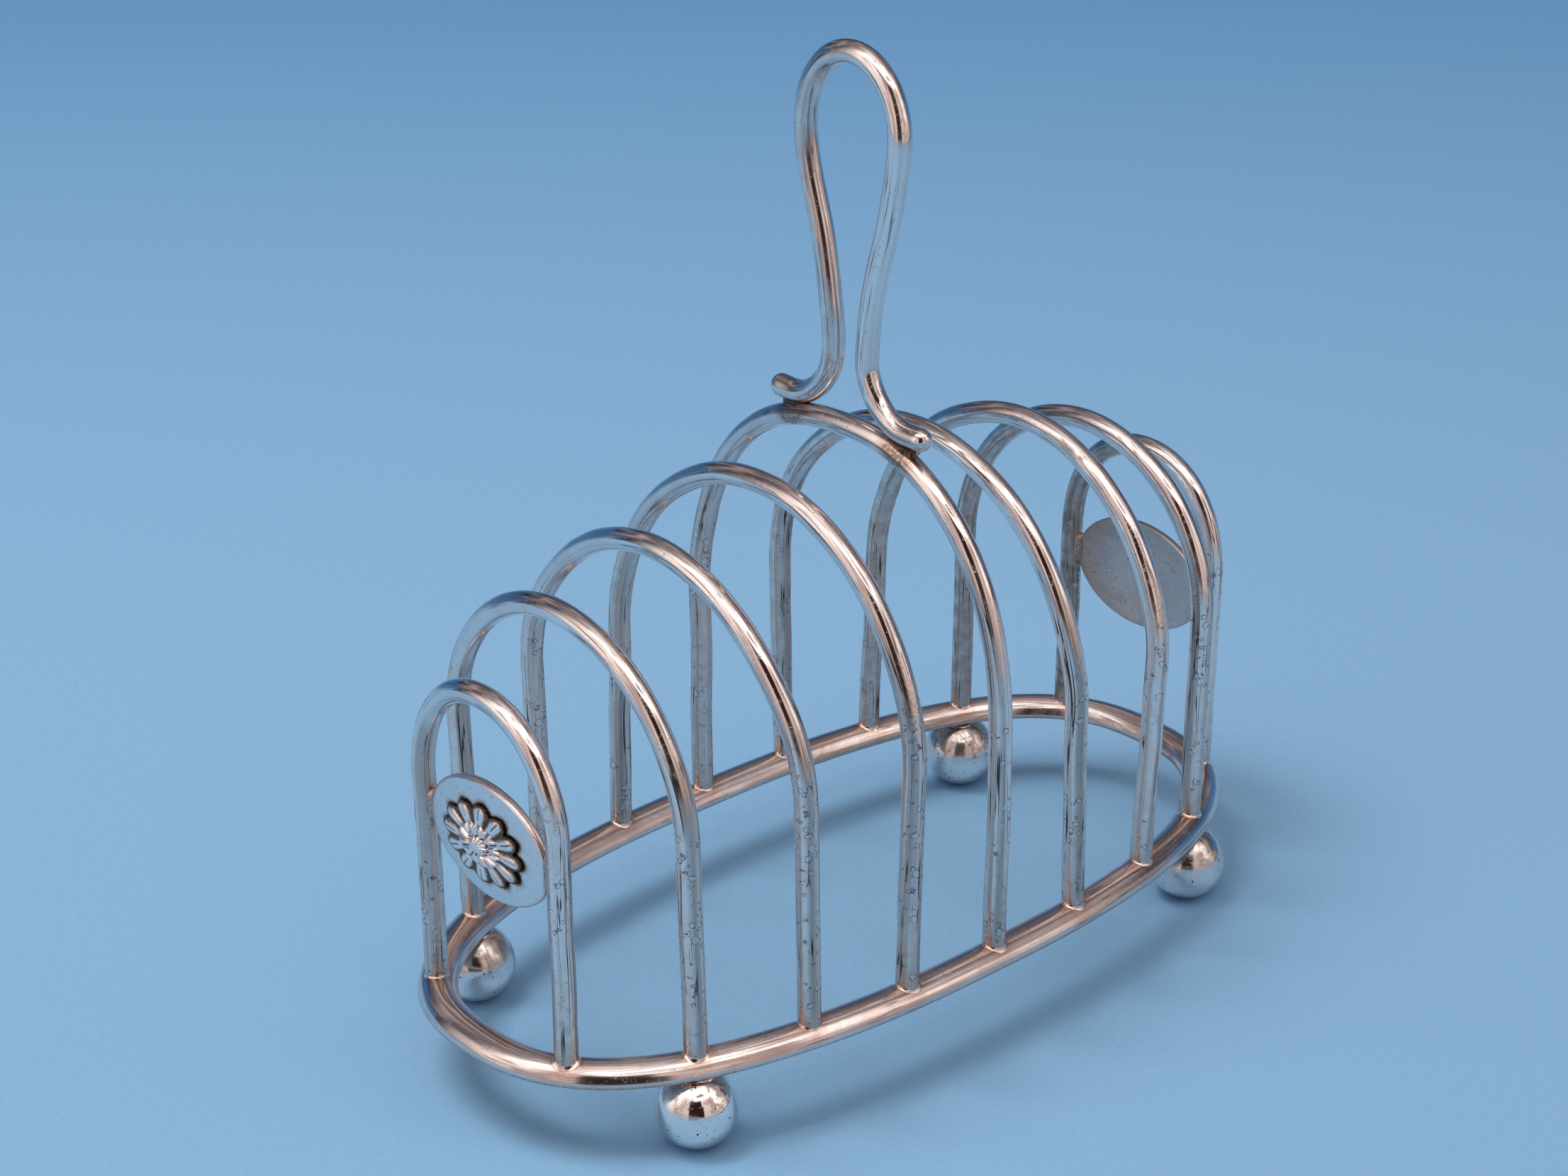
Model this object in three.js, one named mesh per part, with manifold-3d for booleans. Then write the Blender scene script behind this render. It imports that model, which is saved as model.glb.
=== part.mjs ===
// Wire toast rack with eight slots: a half-round oval ring on four ball feet, nine arches of round wire,
// a loop handle on the middle arch, and an oval plate between the legs of each end arch.
// Millimetres, +Z up. +X runs along the row of arches, and the origin lies on the table under the middle.

import * as THREE from 'three';
import { mergeVertices } from 'three/addons/utils/BufferGeometryUtils.js';
import Module from 'manifold-3d';

// ---- driving dimensions -------------------------------------------------------------------------------

const WIRE_RADIUS = 2.0;
const WIRE_SIDES = 12;
const JOINT_GAP = 0.3; // room left for solder between touching pieces

// base ring: the centre line is a full oval |x/a|^n + |y/b|^n = 1, the section a half-round, flat side down
const RING_HALF_LENGTH = 81.7;
const RING_HALF_WIDTH = 38.4;
const RING_FULLNESS = 2.5;
const RING_SECTION_RADIUS = 3.5;
const RING_UNDERSIDE = 13.95;
const RING_TOP = RING_UNDERSIDE + RING_SECTION_RADIUS;
const RING_STEPS = 64;
const RING_SECTION_STEPS = 8;

// arches: distance from the middle, crown height of the wire's centre line, and how square the shoulders are
const ARCH_SHAPES = {
  end: { offset: 76.8, crown: 76.1, fullness: 2.1 },
  second: { offset: 60.0, crown: 86.1, fullness: 1.95 },
  third: { offset: 40.3, crown: 91.2, fullness: 1.9 },
  fourth: { offset: 20.2, crown: 96.2, fullness: 2.0 },
  middle: { offset: 0, crown: 101.6, fullness: 2.25 },
};
const SHOULDER_HEIGHT = 56; // the legs are straight up to here
const ARCH_STEPS = 36;
const LEG_START = RING_UNDERSIDE + 1.4; // inside the ring's section, before the end is coped

// the nine arches in order along +X, with the lean that each has taken in use, degrees towards +X
const ARCH_ROW = [
  { shape: 'end', side: -1, lean: -0.5 },
  { shape: 'second', side: -1, lean: -1.5 },
  { shape: 'third', side: -1, lean: -1.0 },
  { shape: 'fourth', side: -1, lean: 1.0 },
  { shape: 'middle', side: 0, lean: 0.0 },
  { shape: 'fourth', side: 1, lean: -2.0 },
  { shape: 'third', side: 1, lean: 2.5 },
  { shape: 'second', side: 1, lean: 0.5 },
  { shape: 'end', side: 1, lean: 0.5 },
];
const FIRST_ARCH = 0;
const MIDDLE_ARCH = 4;
const LAST_ARCH = ARCH_ROW.length - 1;

// loop handle: half of its centre line in the plane of the middle arch, heights from the table.
// The pulls say how far the curve's control points lie above or below each of these places.
const HANDLE_SHIFT = -1.05; // it was soldered on slightly off centre
const LOOP_TOP = 166;
const LOOP_WIDEST = { y: 11.2, z: 152.5, pullBelow: 9.5 };
const LOOP_NECK = { y: 4.15, z: 115, pullAbove: 16, pullBelow: 6 };
const LOOP_FOOT = { y: 14.2, z: 104.3, pullInward: 5.0 };
const LOOP_TIP = { y: 17.0, z: 104.35 };
const QUARTER_ROUND = 0.5523; // control length of a quarter circle, of its radius
const HANDLE_STEPS = 64;

// ball feet: a turned ball with a short neck up to the ring and a small worn flat to stand on
const BALL_RADIUS = 7.0;
const BALL_FLAT_RADIUS = 1.5;
const BALL_NECK_RADIUS = 2.8;
const BALL_SIDES = 20;
const BALL_ARC_STEPS = 9;
const FOOT_ARCHES = [1, 7]; // the balls stand under the legs of these arches

// end plates: thin oval dishes, bulging outwards, between the legs of the end arches
const PLATE_CENTRE_HEIGHT = 50.4;
const PLATE_HALF_HEIGHT = 10.5;
const PLATE_THICKNESS = 1.5;
const PLATE_BULGE = 1.1;
const PLATE_SIDES = 40;
const PLATE_DISH_STEPS = 3;

// rosette badge on the first plate
const BADGE_HALF_WIDTH = 10.2;
const BADGE_HALF_HEIGHT = 6.9;
const BADGE_THICKNESS = 0.9;
const BADGE_PETALS = 12;
const BADGE_PETAL_DEPTH = 0.16; // how far the outline dips between two petals, of its radius
const BADGE_BOSS_RADIUS = 2.5;
const BADGE_BOSS_RISE = 1.3;
const BADGE_BOSS_SIDES = 16;

// ---- solids -------------------------------------------------------------------------------------------

const wasm = await Module();
wasm.setup();

function toSolid(geometry) {
  const bare = geometry.clone();
  bare.deleteAttribute('normal');
  bare.deleteAttribute('uv');
  const merged = mergeVertices(bare);
  return new wasm.Manifold(new wasm.Mesh({
    numProp: 3,
    vertProperties: new Float32Array(merged.attributes.position.array),
    triVerts: new Uint32Array(merged.index.array),
  }));
}

function toGeometry(solid) {
  const mesh = solid.getMesh();
  const geometry = new THREE.BufferGeometry();
  geometry.setAttribute('position', new THREE.BufferAttribute(mesh.vertProperties, 3));
  geometry.setIndex(new THREE.BufferAttribute(mesh.triVerts, 1));
  geometry.computeVertexNormals();
  return geometry;
}

function roundWire(path, steps) {
  const section = new THREE.Shape();
  section.absarc(0, 0, WIRE_RADIUS, 0, 2 * Math.PI);
  return new THREE.ExtrudeGeometry(section, {
    steps,
    extrudePath: path,
    curveSegments: WIRE_SIDES / 2,
    bevelEnabled: false,
  });
}

// ---- base ring ----------------------------------------------------------------------------------------

const signedPower = (value, power) => Math.sign(value) * Math.abs(value) ** power;

/** Point of the ring's centre line at an angle, and the outward direction there. */
function ringAt(angle) {
  const x = RING_HALF_LENGTH * signedPower(Math.cos(angle), 2 / RING_FULLNESS);
  const y = RING_HALF_WIDTH * signedPower(Math.sin(angle), 2 / RING_FULLNESS);
  const outward = new THREE.Vector2(
    signedPower(x / RING_HALF_LENGTH, RING_FULLNESS - 1) / RING_HALF_LENGTH,
    signedPower(y / RING_HALF_WIDTH, RING_FULLNESS - 1) / RING_HALF_WIDTH,
  ).normalize();
  return { x, y, outward };
}

/** Half the ring's width at a distance x from its middle. */
function ringHalfWidthAt(x) {
  const along = Math.abs(x / RING_HALF_LENGTH) ** RING_FULLNESS;
  return RING_HALF_WIDTH * (1 - along) ** (1 / RING_FULLNESS);
}

/** The half-round section swept round the oval, made larger all round by `extra`. */
function ringGeometry(extra) {
  const radius = RING_SECTION_RADIUS + extra;
  const profile = [];
  for (let i = 0; i <= RING_SECTION_STEPS; i += 1) {
    const angle = Math.PI * i / RING_SECTION_STEPS;
    profile.push(new THREE.Vector2(
      RING_HALF_WIDTH - radius * Math.cos(angle),
      radius * Math.sin(angle),
    ));
  }
  if (extra > 0) {
    profile.unshift(new THREE.Vector2(profile[0].x, -extra));
    profile.push(new THREE.Vector2(profile[profile.length - 1].x, -extra));
  }
  profile.push(profile[0].clone());
  profile.reverse();
  const geometry = new THREE.LatheGeometry(profile, RING_STEPS);
  geometry.rotateX(Math.PI / 2);
  const position = geometry.attributes.position;
  for (let i = 0; i < position.count; i += 1) {
    const outFromCentreLine = Math.hypot(position.getX(i), position.getY(i)) - RING_HALF_WIDTH;
    const { x, y, outward } = ringAt(Math.atan2(position.getY(i), position.getX(i)));
    position.setX(i, x + outward.x * outFromCentreLine);
    position.setY(i, y + outward.y * outFromCentreLine);
    position.setZ(i, position.getZ(i) + RING_UNDERSIDE);
  }
  return geometry;
}

// ---- arches -------------------------------------------------------------------------------------------

/** Centre line of an arch in its own plane: up one leg, over the crown, down the other. */
class ArchCurve extends THREE.Curve {
  constructor(halfWidth, crown, fullness) {
    super();
    this.halfWidth = halfWidth;
    this.crown = crown;
    this.fullness = fullness;
    this.arcLengthDivisions = 400;
  }

  getPoint(t, target = new THREE.Vector3()) {
    const legShare = 0.2; // share of the curve's parameter that each straight leg takes
    if (t < legShare || t > 1 - legShare) {
      const height = Math.min(t, 1 - t) / legShare;
      const side = t < 0.5 ? -1 : 1;
      return target.set(0, side * this.halfWidth, THREE.MathUtils.lerp(LEG_START, SHOULDER_HEIGHT, height));
    }
    const angle = Math.PI * (t - legShare) / (1 - 2 * legShare);
    const power = 2 / this.fullness;
    return target.set(
      0,
      -this.halfWidth * signedPower(Math.cos(angle), power),
      SHOULDER_HEIGHT + (this.crown - SHOULDER_HEIGHT) * Math.max(Math.sin(angle), 0) ** power,
    );
  }
}

/** Group that stands at an arch's place on the ring and leans with it, still in heights from the table. */
function archPlane({ shape, side, lean }) {
  const pivot = new THREE.Group();
  pivot.position.set(side * ARCH_SHAPES[shape].offset, 0, RING_TOP);
  pivot.rotation.y = THREE.MathUtils.degToRad(lean);
  const plane = new THREE.Group();
  plane.position.z = -RING_TOP;
  pivot.add(plane);
  pivot.updateMatrixWorld(true);
  return { pivot, plane };
}

function archGeometry(entry, plane, ringCutter) {
  const { offset, crown, fullness } = ARCH_SHAPES[entry.shape];
  const wire = roundWire(new ArchCurve(ringHalfWidthAt(offset), crown, fullness), ARCH_STEPS);
  const toPlane = plane.matrixWorld.clone().invert();
  const cutter = toSolid(ringCutter.clone().applyMatrix4(toPlane));
  return toGeometry(toSolid(wire).subtract(cutter));
}

// ---- loop handle --------------------------------------------------------------------------------------

/** Half of the handle's centre line, from the top of the loop to the tip, on one side. */
function handleHalf(side) {
  const at = (y, z) => new THREE.Vector3(0, side * y, z);
  const topReach = (LOOP_TOP - LOOP_WIDEST.z) * QUARTER_ROUND;
  const sideReach = LOOP_WIDEST.y * QUARTER_ROUND;
  const top = new THREE.CubicBezierCurve3(
    at(0, LOOP_TOP),
    at(sideReach, LOOP_TOP),
    at(LOOP_WIDEST.y, LOOP_WIDEST.z + topReach),
    at(LOOP_WIDEST.y, LOOP_WIDEST.z),
  );
  const waist = new THREE.CubicBezierCurve3(
    at(LOOP_WIDEST.y, LOOP_WIDEST.z),
    at(LOOP_WIDEST.y, LOOP_WIDEST.z - LOOP_WIDEST.pullBelow),
    at(LOOP_NECK.y, LOOP_NECK.z + LOOP_NECK.pullAbove),
    at(LOOP_NECK.y, LOOP_NECK.z),
  );
  const flare = new THREE.CubicBezierCurve3(
    at(LOOP_NECK.y, LOOP_NECK.z),
    at(LOOP_NECK.y, LOOP_NECK.z - LOOP_NECK.pullBelow),
    at(LOOP_FOOT.y - LOOP_FOOT.pullInward, LOOP_FOOT.z),
    at(LOOP_FOOT.y, LOOP_FOOT.z),
  );
  const curl = new THREE.QuadraticBezierCurve3(
    at(LOOP_FOOT.y, LOOP_FOOT.z),
    at((LOOP_FOOT.y + LOOP_TIP.y) / 2, LOOP_FOOT.z),
    at(LOOP_TIP.y, LOOP_TIP.z),
  );
  return [top, waist, flare, curl];
}

/** The whole centre line as one smooth curve through points of its two halves. */
function handleCurve() {
  const pointsPerPiece = 8;
  const half = (side) => {
    const points = [];
    for (const piece of handleHalf(side)) {
      points.push(...piece.getPoints(pointsPerPiece).slice(1));
    }
    return points;
  };
  const start = new THREE.Vector3(0, 0, LOOP_TOP);
  return new THREE.CatmullRomCurve3([...half(-1).reverse(), start, ...half(1)]);
}

function handleGeometry() {
  const curve = handleCurve();
  curve.arcLengthDivisions = 600;
  let solid = toSolid(roundWire(curve, HANDLE_STEPS));
  for (const side of [-1, 1]) {
    const tip = new THREE.SphereGeometry(WIRE_RADIUS, WIRE_SIDES, WIRE_SIDES / 2);
    tip.rotateX(Math.PI / 2);
    tip.translate(0, side * LOOP_TIP.y, LOOP_TIP.z);
    solid = solid.add(toSolid(tip));
  }
  const geometry = toGeometry(solid);
  geometry.translate(0, HANDLE_SHIFT, 0);
  return geometry;
}

// ---- ball feet ----------------------------------------------------------------------------------------

function ballGeometry() {
  const centre = Math.sqrt(BALL_RADIUS ** 2 - BALL_FLAT_RADIUS ** 2);
  const first = -Math.acos(BALL_FLAT_RADIUS / BALL_RADIUS);
  const last = Math.acos(BALL_NECK_RADIUS / BALL_RADIUS);
  const profile = [new THREE.Vector2(0, 0)];
  for (let i = 0; i <= BALL_ARC_STEPS; i += 1) {
    const angle = THREE.MathUtils.lerp(first, last, i / BALL_ARC_STEPS);
    profile.push(new THREE.Vector2(BALL_RADIUS * Math.cos(angle), centre + BALL_RADIUS * Math.sin(angle)));
  }
  const neckTop = RING_UNDERSIDE - JOINT_GAP;
  profile.push(new THREE.Vector2(BALL_NECK_RADIUS, neckTop));
  profile.push(new THREE.Vector2(0, neckTop));
  const geometry = new THREE.LatheGeometry(profile, BALL_SIDES);
  geometry.rotateX(Math.PI / 2);
  return geometry;
}

// ---- end plates and badge -----------------------------------------------------------------------------

const plateHalfWidth = ringHalfWidthAt(ARCH_SHAPES.end.offset) - WIRE_RADIUS - JOINT_GAP;

/** Oval dish that bulges towards +Z of its own frame, rim round z = 0, made from a round one. */
function plateGeometry() {
  const profile = [];
  for (let i = 0; i <= PLATE_DISH_STEPS; i += 1) {
    const share = i / PLATE_DISH_STEPS;
    const middle = PLATE_BULGE * (1 - share ** 2);
    profile.push(new THREE.Vector2(plateHalfWidth * share, middle + PLATE_THICKNESS / 2));
  }
  for (let i = PLATE_DISH_STEPS; i >= 0; i -= 1) {
    const share = i / PLATE_DISH_STEPS;
    const middle = PLATE_BULGE * (1 - share ** 2);
    profile.push(new THREE.Vector2(plateHalfWidth * share, middle - PLATE_THICKNESS / 2));
  }
  profile.reverse();
  const geometry = new THREE.LatheGeometry(profile, PLATE_SIDES);
  geometry.rotateX(Math.PI / 2);
  geometry.scale(PLATE_HALF_HEIGHT / plateHalfWidth, 1, 1);
  return geometry;
}

/** Oval rosette of rounded petals with a domed boss, its back on z = 0 of its own frame. */
function badgeGeometry() {
  const outline = [];
  const pointsPerPetal = 6;
  const count = BADGE_PETALS * pointsPerPetal;
  for (let i = 0; i < count; i += 1) {
    const angle = 2 * Math.PI * i / count;
    const dip = BADGE_PETAL_DEPTH * (1 - Math.abs(Math.cos(BADGE_PETALS * angle / 2)));
    outline.push(new THREE.Vector2(
      BADGE_HALF_HEIGHT * (1 - dip) * Math.cos(angle),
      BADGE_HALF_WIDTH * (1 - dip) * Math.sin(angle),
    ));
  }
  const petals = new THREE.ExtrudeGeometry(new THREE.Shape(outline), {
    depth: BADGE_THICKNESS,
    bevelEnabled: false,
  });
  const boss = new THREE.SphereGeometry(BADGE_BOSS_RADIUS, BADGE_BOSS_SIDES, BADGE_BOSS_SIDES / 2);
  boss.rotateX(Math.PI / 2);
  boss.scale(1, BADGE_HALF_WIDTH / BADGE_HALF_HEIGHT, BADGE_BOSS_RISE / BADGE_BOSS_RADIUS);
  boss.translate(0, 0, BADGE_THICKNESS / 2);
  const room = 3 * BADGE_HALF_WIDTH;
  const below = new THREE.BoxGeometry(room, room, room);
  below.translate(0, 0, -room / 2);
  return toGeometry(toSolid(petals).add(toSolid(boss)).subtract(toSolid(below)));
}

// ---- materials ----------------------------------------------------------------------------------------

const silverWire = () => new THREE.MeshStandardMaterial({ color: 0xc9ccd0, roughness: 0.16, metalness: 1 });
const silverRing = () => new THREE.MeshStandardMaterial({ color: 0xcfc8c2, roughness: 0.14, metalness: 1 });
const silverBall = () => new THREE.MeshStandardMaterial({ color: 0xd2d2d2, roughness: 0.1, metalness: 1 });
const silverPlate = () => new THREE.MeshStandardMaterial({ color: 0xb4bac2, roughness: 0.28, metalness: 1 });
const wornRelief = () => new THREE.MeshStandardMaterial({ color: 0xa9a49c, roughness: 0.3, metalness: 1 });

// ---- assembly -----------------------------------------------------------------------------------------

const rack = new THREE.Group();

function addPiece(parent, name, geometry, material) {
  const mesh = new THREE.Mesh(geometry, material);
  mesh.name = name;
  parent.add(mesh);
  return mesh;
}

addPiece(rack, 'base_ring', ringGeometry(0), silverRing());

const ringCutter = ringGeometry(JOINT_GAP);
const archPlanes = ARCH_ROW.map((entry, index) => {
  const { pivot, plane } = archPlane(entry);
  addPiece(plane, `arch_${index + 1}`, archGeometry(entry, plane, ringCutter), silverWire());
  rack.add(pivot);
  return plane;
});

addPiece(archPlanes[MIDDLE_ARCH], 'loop_handle', handleGeometry(), silverWire());

let footNumber = 1;
for (const index of FOOT_ARCHES) {
  const { shape, side } = ARCH_ROW[index];
  const { offset } = ARCH_SHAPES[shape];
  for (const edge of [-1, 1]) {
    const ball = addPiece(rack, `ball_foot_${footNumber}`, ballGeometry(), silverBall());
    ball.position.set(side * offset, edge * ringHalfWidthAt(offset), 0);
    footNumber += 1;
  }
}

const END_PLATES = [
  { name: 'end_plate_front', arch: FIRST_ARCH, outward: -1 },
  { name: 'end_plate_back', arch: LAST_ARCH, outward: 1 },
];
for (const { name, arch, outward } of END_PLATES) {
  const plate = addPiece(archPlanes[arch], name, plateGeometry(), silverPlate());
  plate.position.z = PLATE_CENTRE_HEIGHT;
  plate.rotation.y = outward * Math.PI / 2;
}

const badge = addPiece(archPlanes[FIRST_ARCH], 'rosette_badge', badgeGeometry(), wornRelief());
badge.position.set(-(PLATE_THICKNESS / 2 + PLATE_BULGE + JOINT_GAP), 0, PLATE_CENTRE_HEIGHT);
badge.rotation.y = -Math.PI / 2;

export default rack;
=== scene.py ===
"""Looks of a silver-plated wire toast rack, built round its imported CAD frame."""

import math

import bmesh
import bpy
import numpy as np
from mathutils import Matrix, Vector


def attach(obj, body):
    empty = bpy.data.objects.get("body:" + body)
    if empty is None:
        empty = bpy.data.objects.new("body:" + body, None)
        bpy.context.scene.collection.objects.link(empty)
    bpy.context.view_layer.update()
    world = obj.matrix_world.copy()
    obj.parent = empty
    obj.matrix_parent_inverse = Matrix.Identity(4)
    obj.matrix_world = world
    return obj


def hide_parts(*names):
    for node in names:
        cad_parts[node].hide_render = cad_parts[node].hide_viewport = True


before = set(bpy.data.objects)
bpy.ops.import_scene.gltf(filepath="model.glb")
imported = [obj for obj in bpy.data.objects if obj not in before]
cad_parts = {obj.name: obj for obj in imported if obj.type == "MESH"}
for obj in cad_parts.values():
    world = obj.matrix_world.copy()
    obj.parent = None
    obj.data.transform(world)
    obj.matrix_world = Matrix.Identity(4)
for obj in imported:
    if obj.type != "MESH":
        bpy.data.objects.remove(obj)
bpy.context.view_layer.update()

MM = 0.001

# ---- sizes of the rack, in millimetres ----------------------------------------------------------------

WIRE_RADIUS = 2.0
WIRE_SIDES = 40
WIRE_STEP = 0.9

RING_HALF_LENGTH = 81.7
RING_HALF_WIDTH = 38.4
RING_FULLNESS = 2.5
RING_SECTION_RADIUS = 3.5
RING_UNDERSIDE = 13.95
RING_TOP = RING_UNDERSIDE + RING_SECTION_RADIUS
RING_STEPS = 460

SHOULDER_HEIGHT = 56.0
# offset along X, crown height, fullness of the shoulders, lean in degrees towards +X
ARCHES = [
    (-76.8, 76.1, 2.1, -0.5),
    (-60.0, 86.1, 1.95, -1.5),
    (-40.3, 91.2, 1.9, -1.0),
    (-20.2, 96.2, 2.0, 1.0),
    (0.0, 101.6, 2.25, 0.0),
    (20.2, 96.2, 2.0, -2.0),
    (40.3, 91.2, 1.9, 2.5),
    (60.0, 86.1, 1.95, 0.5),
    (76.8, 76.1, 2.1, 0.5),
]
ARCH_PAINTED_SHADE = [0.15, 0.20, 0.20, 0.25, 0.30, 0.45, 0.60, 0.80, 1.0]  # painted shade: how much browner each arch is painted, deepest on the arches furthest from the camera
MIDDLE = 4
FIRST = 0
LAST = 8

HANDLE_SHIFT = -1.05
LOOP_TOP = 166.0
LOOP_WIDEST = (11.2, 152.5)
LOOP_NECK = (4.15, 115.0)
LOOP_FOOT = (14.2, 104.3)
LOOP_TIP = (17.0, 104.35)
WIDEST_PULL = 9.5
NECK_PULL_ABOVE = 16.0
NECK_PULL_BELOW = 6.0
FOOT_PULL = 5.0
HANDLE_CAP_STEPS = 10
HANDLE_SETTLES = 0.25  # the feet sink this far towards the crown, into their solder
QUARTER_ROUND = 0.5523

BALL_RADIUS = 7.0
BALL_FLAT_RADIUS = 1.5
BALL_NECK_RADIUS = 2.7
FEET = [(1, -1), (1, 1), (7, -1), (7, 1)]  # arch above the ball, side

PLATE_HEIGHT = 50.4
PLATE_HALF_WIDTH = 15.35
PLATE_HALF_HEIGHT = 10.5
PLATE_THICKNESS = 1.5
PLATE_BULGE = 1.1

BADGE_HALF_WIDTH = 10.2
BADGE_HALF_HEIGHT = 6.9
BADGE_PETALS = 12
BADGE_PETAL_DEPTH = 0.16

# seeds of the hand-made unevenness, one block for each kind of piece
ARCH_SEED = 100
LEG_SOLDER_SEED = 400
HANDLE_SEED = 700
HANDLE_SOLDER_SEED = 760
RING_SEED = 800
BALL_SEED = 850
PLATE_SOLDER_SEED = 900

# how far the wires stray from a true line, and how far a leg sinks into the ring or stands off it
WIRE_SWAY = 0.16
ARCH_DENT = 0.10
HANDLE_DENT = 0.12
FOOT_SINK = 0.25
FOOT_CLEAR = 0.15


# ---- curves -------------------------------------------------------------------------------------------

def wobble(position, seed, amplitude, shortest=22.0, longest=70.0, waves=5):
    """Smooth hand-made unevenness along a length, the same on each run."""
    rng = np.random.default_rng(seed)
    length = rng.uniform(shortest, longest, waves)
    phase = rng.uniform(0, 2 * np.pi, waves)
    terms = np.sin(2 * np.pi * np.asarray(position)[..., None] / length + phase)
    return amplitude * terms.sum(-1) / math.sqrt(waves)


def resample(line, step):
    """The same polyline with evenly spaced points, and the length along it at each."""
    along = np.concatenate([[0], np.cumsum(np.linalg.norm(np.diff(line, axis=0), axis=1))])
    even = np.linspace(0, along[-1], max(2, round(along[-1] / step) + 1))
    return np.column_stack([np.interp(even, along, line[:, k]) for k in range(line.shape[1])]), even


def round_wobble(angle, seed, amplitude):
    """The same unevenness round a circle, at angles in radians."""
    return wobble(angle * 20 / np.pi, seed, amplitude, 8, 20)


def signed_power(value, power):
    return np.sign(value) * np.abs(value) ** power


def ring_line():
    """Centre line of the ring as even points, their outward directions and the length at each."""
    angle = np.linspace(0, 2 * np.pi, 20001)
    x = RING_HALF_LENGTH * signed_power(np.cos(angle), 2 / RING_FULLNESS)
    y = RING_HALF_WIDTH * signed_power(np.sin(angle), 2 / RING_FULLNESS)
    line = np.column_stack([x, y])
    along = np.concatenate([[0], np.cumsum(np.linalg.norm(np.diff(line, axis=0), axis=1))])
    even = np.linspace(0, along[-1], RING_STEPS, endpoint=False)
    points = np.column_stack([np.interp(even, along, x), np.interp(even, along, y)])
    outward = np.column_stack([
        signed_power(points[:, 0] / RING_HALF_LENGTH, RING_FULLNESS - 1) / RING_HALF_LENGTH,
        signed_power(points[:, 1] / RING_HALF_WIDTH, RING_FULLNESS - 1) / RING_HALF_WIDTH,
    ])
    outward /= np.linalg.norm(outward, axis=1, keepdims=True)
    return points, outward, even


RING_POINTS, RING_OUTWARD, RING_ALONG = ring_line()


def ring_half_width(x):
    return RING_HALF_WIDTH * (1 - abs(x / RING_HALF_LENGTH) ** RING_FULLNESS) ** (1 / RING_FULLNESS)


def ring_height(x, y):
    """Height of the ring's rounded top above the table at places x, y."""
    place = np.stack([x, y], axis=-1)
    gap = place[..., None, :] - RING_POINTS
    nearest = np.argmin((gap ** 2).sum(-1), axis=-1)
    offset = (np.take_along_axis(gap, nearest[..., None, None], axis=-2)[..., 0, :]
              * RING_OUTWARD[nearest]).sum(-1)
    inside = np.clip(RING_SECTION_RADIUS ** 2 - offset ** 2, 0, None)
    return RING_UNDERSIDE + np.sqrt(inside)


def bezier(points, count):
    """Points of a Bezier curve of any degree, without its first one."""
    t = np.linspace(0, 1, count + 1)[1:, None]
    degree = len(points) - 1
    total = 0
    for k, point in enumerate(points):
        total = total + math.comb(degree, k) * t ** k * (1 - t) ** (degree - k) * np.array(point)
    return total


def handle_line():
    """Centre line of the loop handle in its own plane, tip to tip, as (y, z)."""
    top_reach = (LOOP_TOP - LOOP_WIDEST[1]) * QUARTER_ROUND
    side_reach = LOOP_WIDEST[0] * QUARTER_ROUND
    half = np.concatenate([
        bezier([(0, LOOP_TOP), (side_reach, LOOP_TOP),
                (LOOP_WIDEST[0], LOOP_WIDEST[1] + top_reach), LOOP_WIDEST], 60),
        bezier([LOOP_WIDEST, (LOOP_WIDEST[0], LOOP_WIDEST[1] - WIDEST_PULL),
                (LOOP_NECK[0], LOOP_NECK[1] + NECK_PULL_ABOVE), LOOP_NECK], 80),
        bezier([LOOP_NECK, (LOOP_NECK[0], LOOP_NECK[1] - NECK_PULL_BELOW),
                (LOOP_FOOT[0] - FOOT_PULL, LOOP_FOOT[1]), LOOP_FOOT], 60),
        bezier([LOOP_FOOT, ((LOOP_FOOT[0] + LOOP_TIP[0]) / 2, LOOP_FOOT[1]), LOOP_TIP], 16),
    ])
    mirrored = half[::-1] * (-1, 1)
    line = np.concatenate([mirrored, [[0, LOOP_TOP]], half])
    line[:, 0] += HANDLE_SHIFT
    return line


def arch_line(index):
    """Centre line of an arch in its own plane, foot to foot, as (y, z)."""
    offset, crown, fullness, _ = ARCHES[index]
    half_width = ring_half_width(offset)
    angle = np.linspace(0, np.pi, 1201)
    power = 2 / fullness
    y = -half_width * signed_power(np.cos(angle), power)
    z = SHOULDER_HEIGHT + (crown - SHOULDER_HEIGHT) * np.clip(np.sin(angle), 0, None) ** power
    foot = RING_TOP - 1.2
    line = np.column_stack([y, z])
    return np.concatenate([[[-half_width, foot]], line, [[half_width, foot]]])


def to_row(index, local):
    """Points in the plane of an arch (x across the plane, y, z) moved to the row frame, leaning."""
    offset, _, _, lean = ARCHES[index]
    turn = math.radians(lean)
    up = local[..., 2] - RING_TOP
    return np.stack([
        offset + local[..., 0] * math.cos(turn) + up * math.sin(turn),
        local[..., 1],
        RING_TOP - local[..., 0] * math.sin(turn) + up * math.cos(turn),
    ], axis=-1)


# ---- meshes -------------------------------------------------------------------------------------------

SHADES = ("patina", "dull", "age")  # oxide near joints with painted highlight and shade on the back dish, unpolished grey, brown of old lacquer and smoke with painted shade on the parts further from the camera


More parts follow.
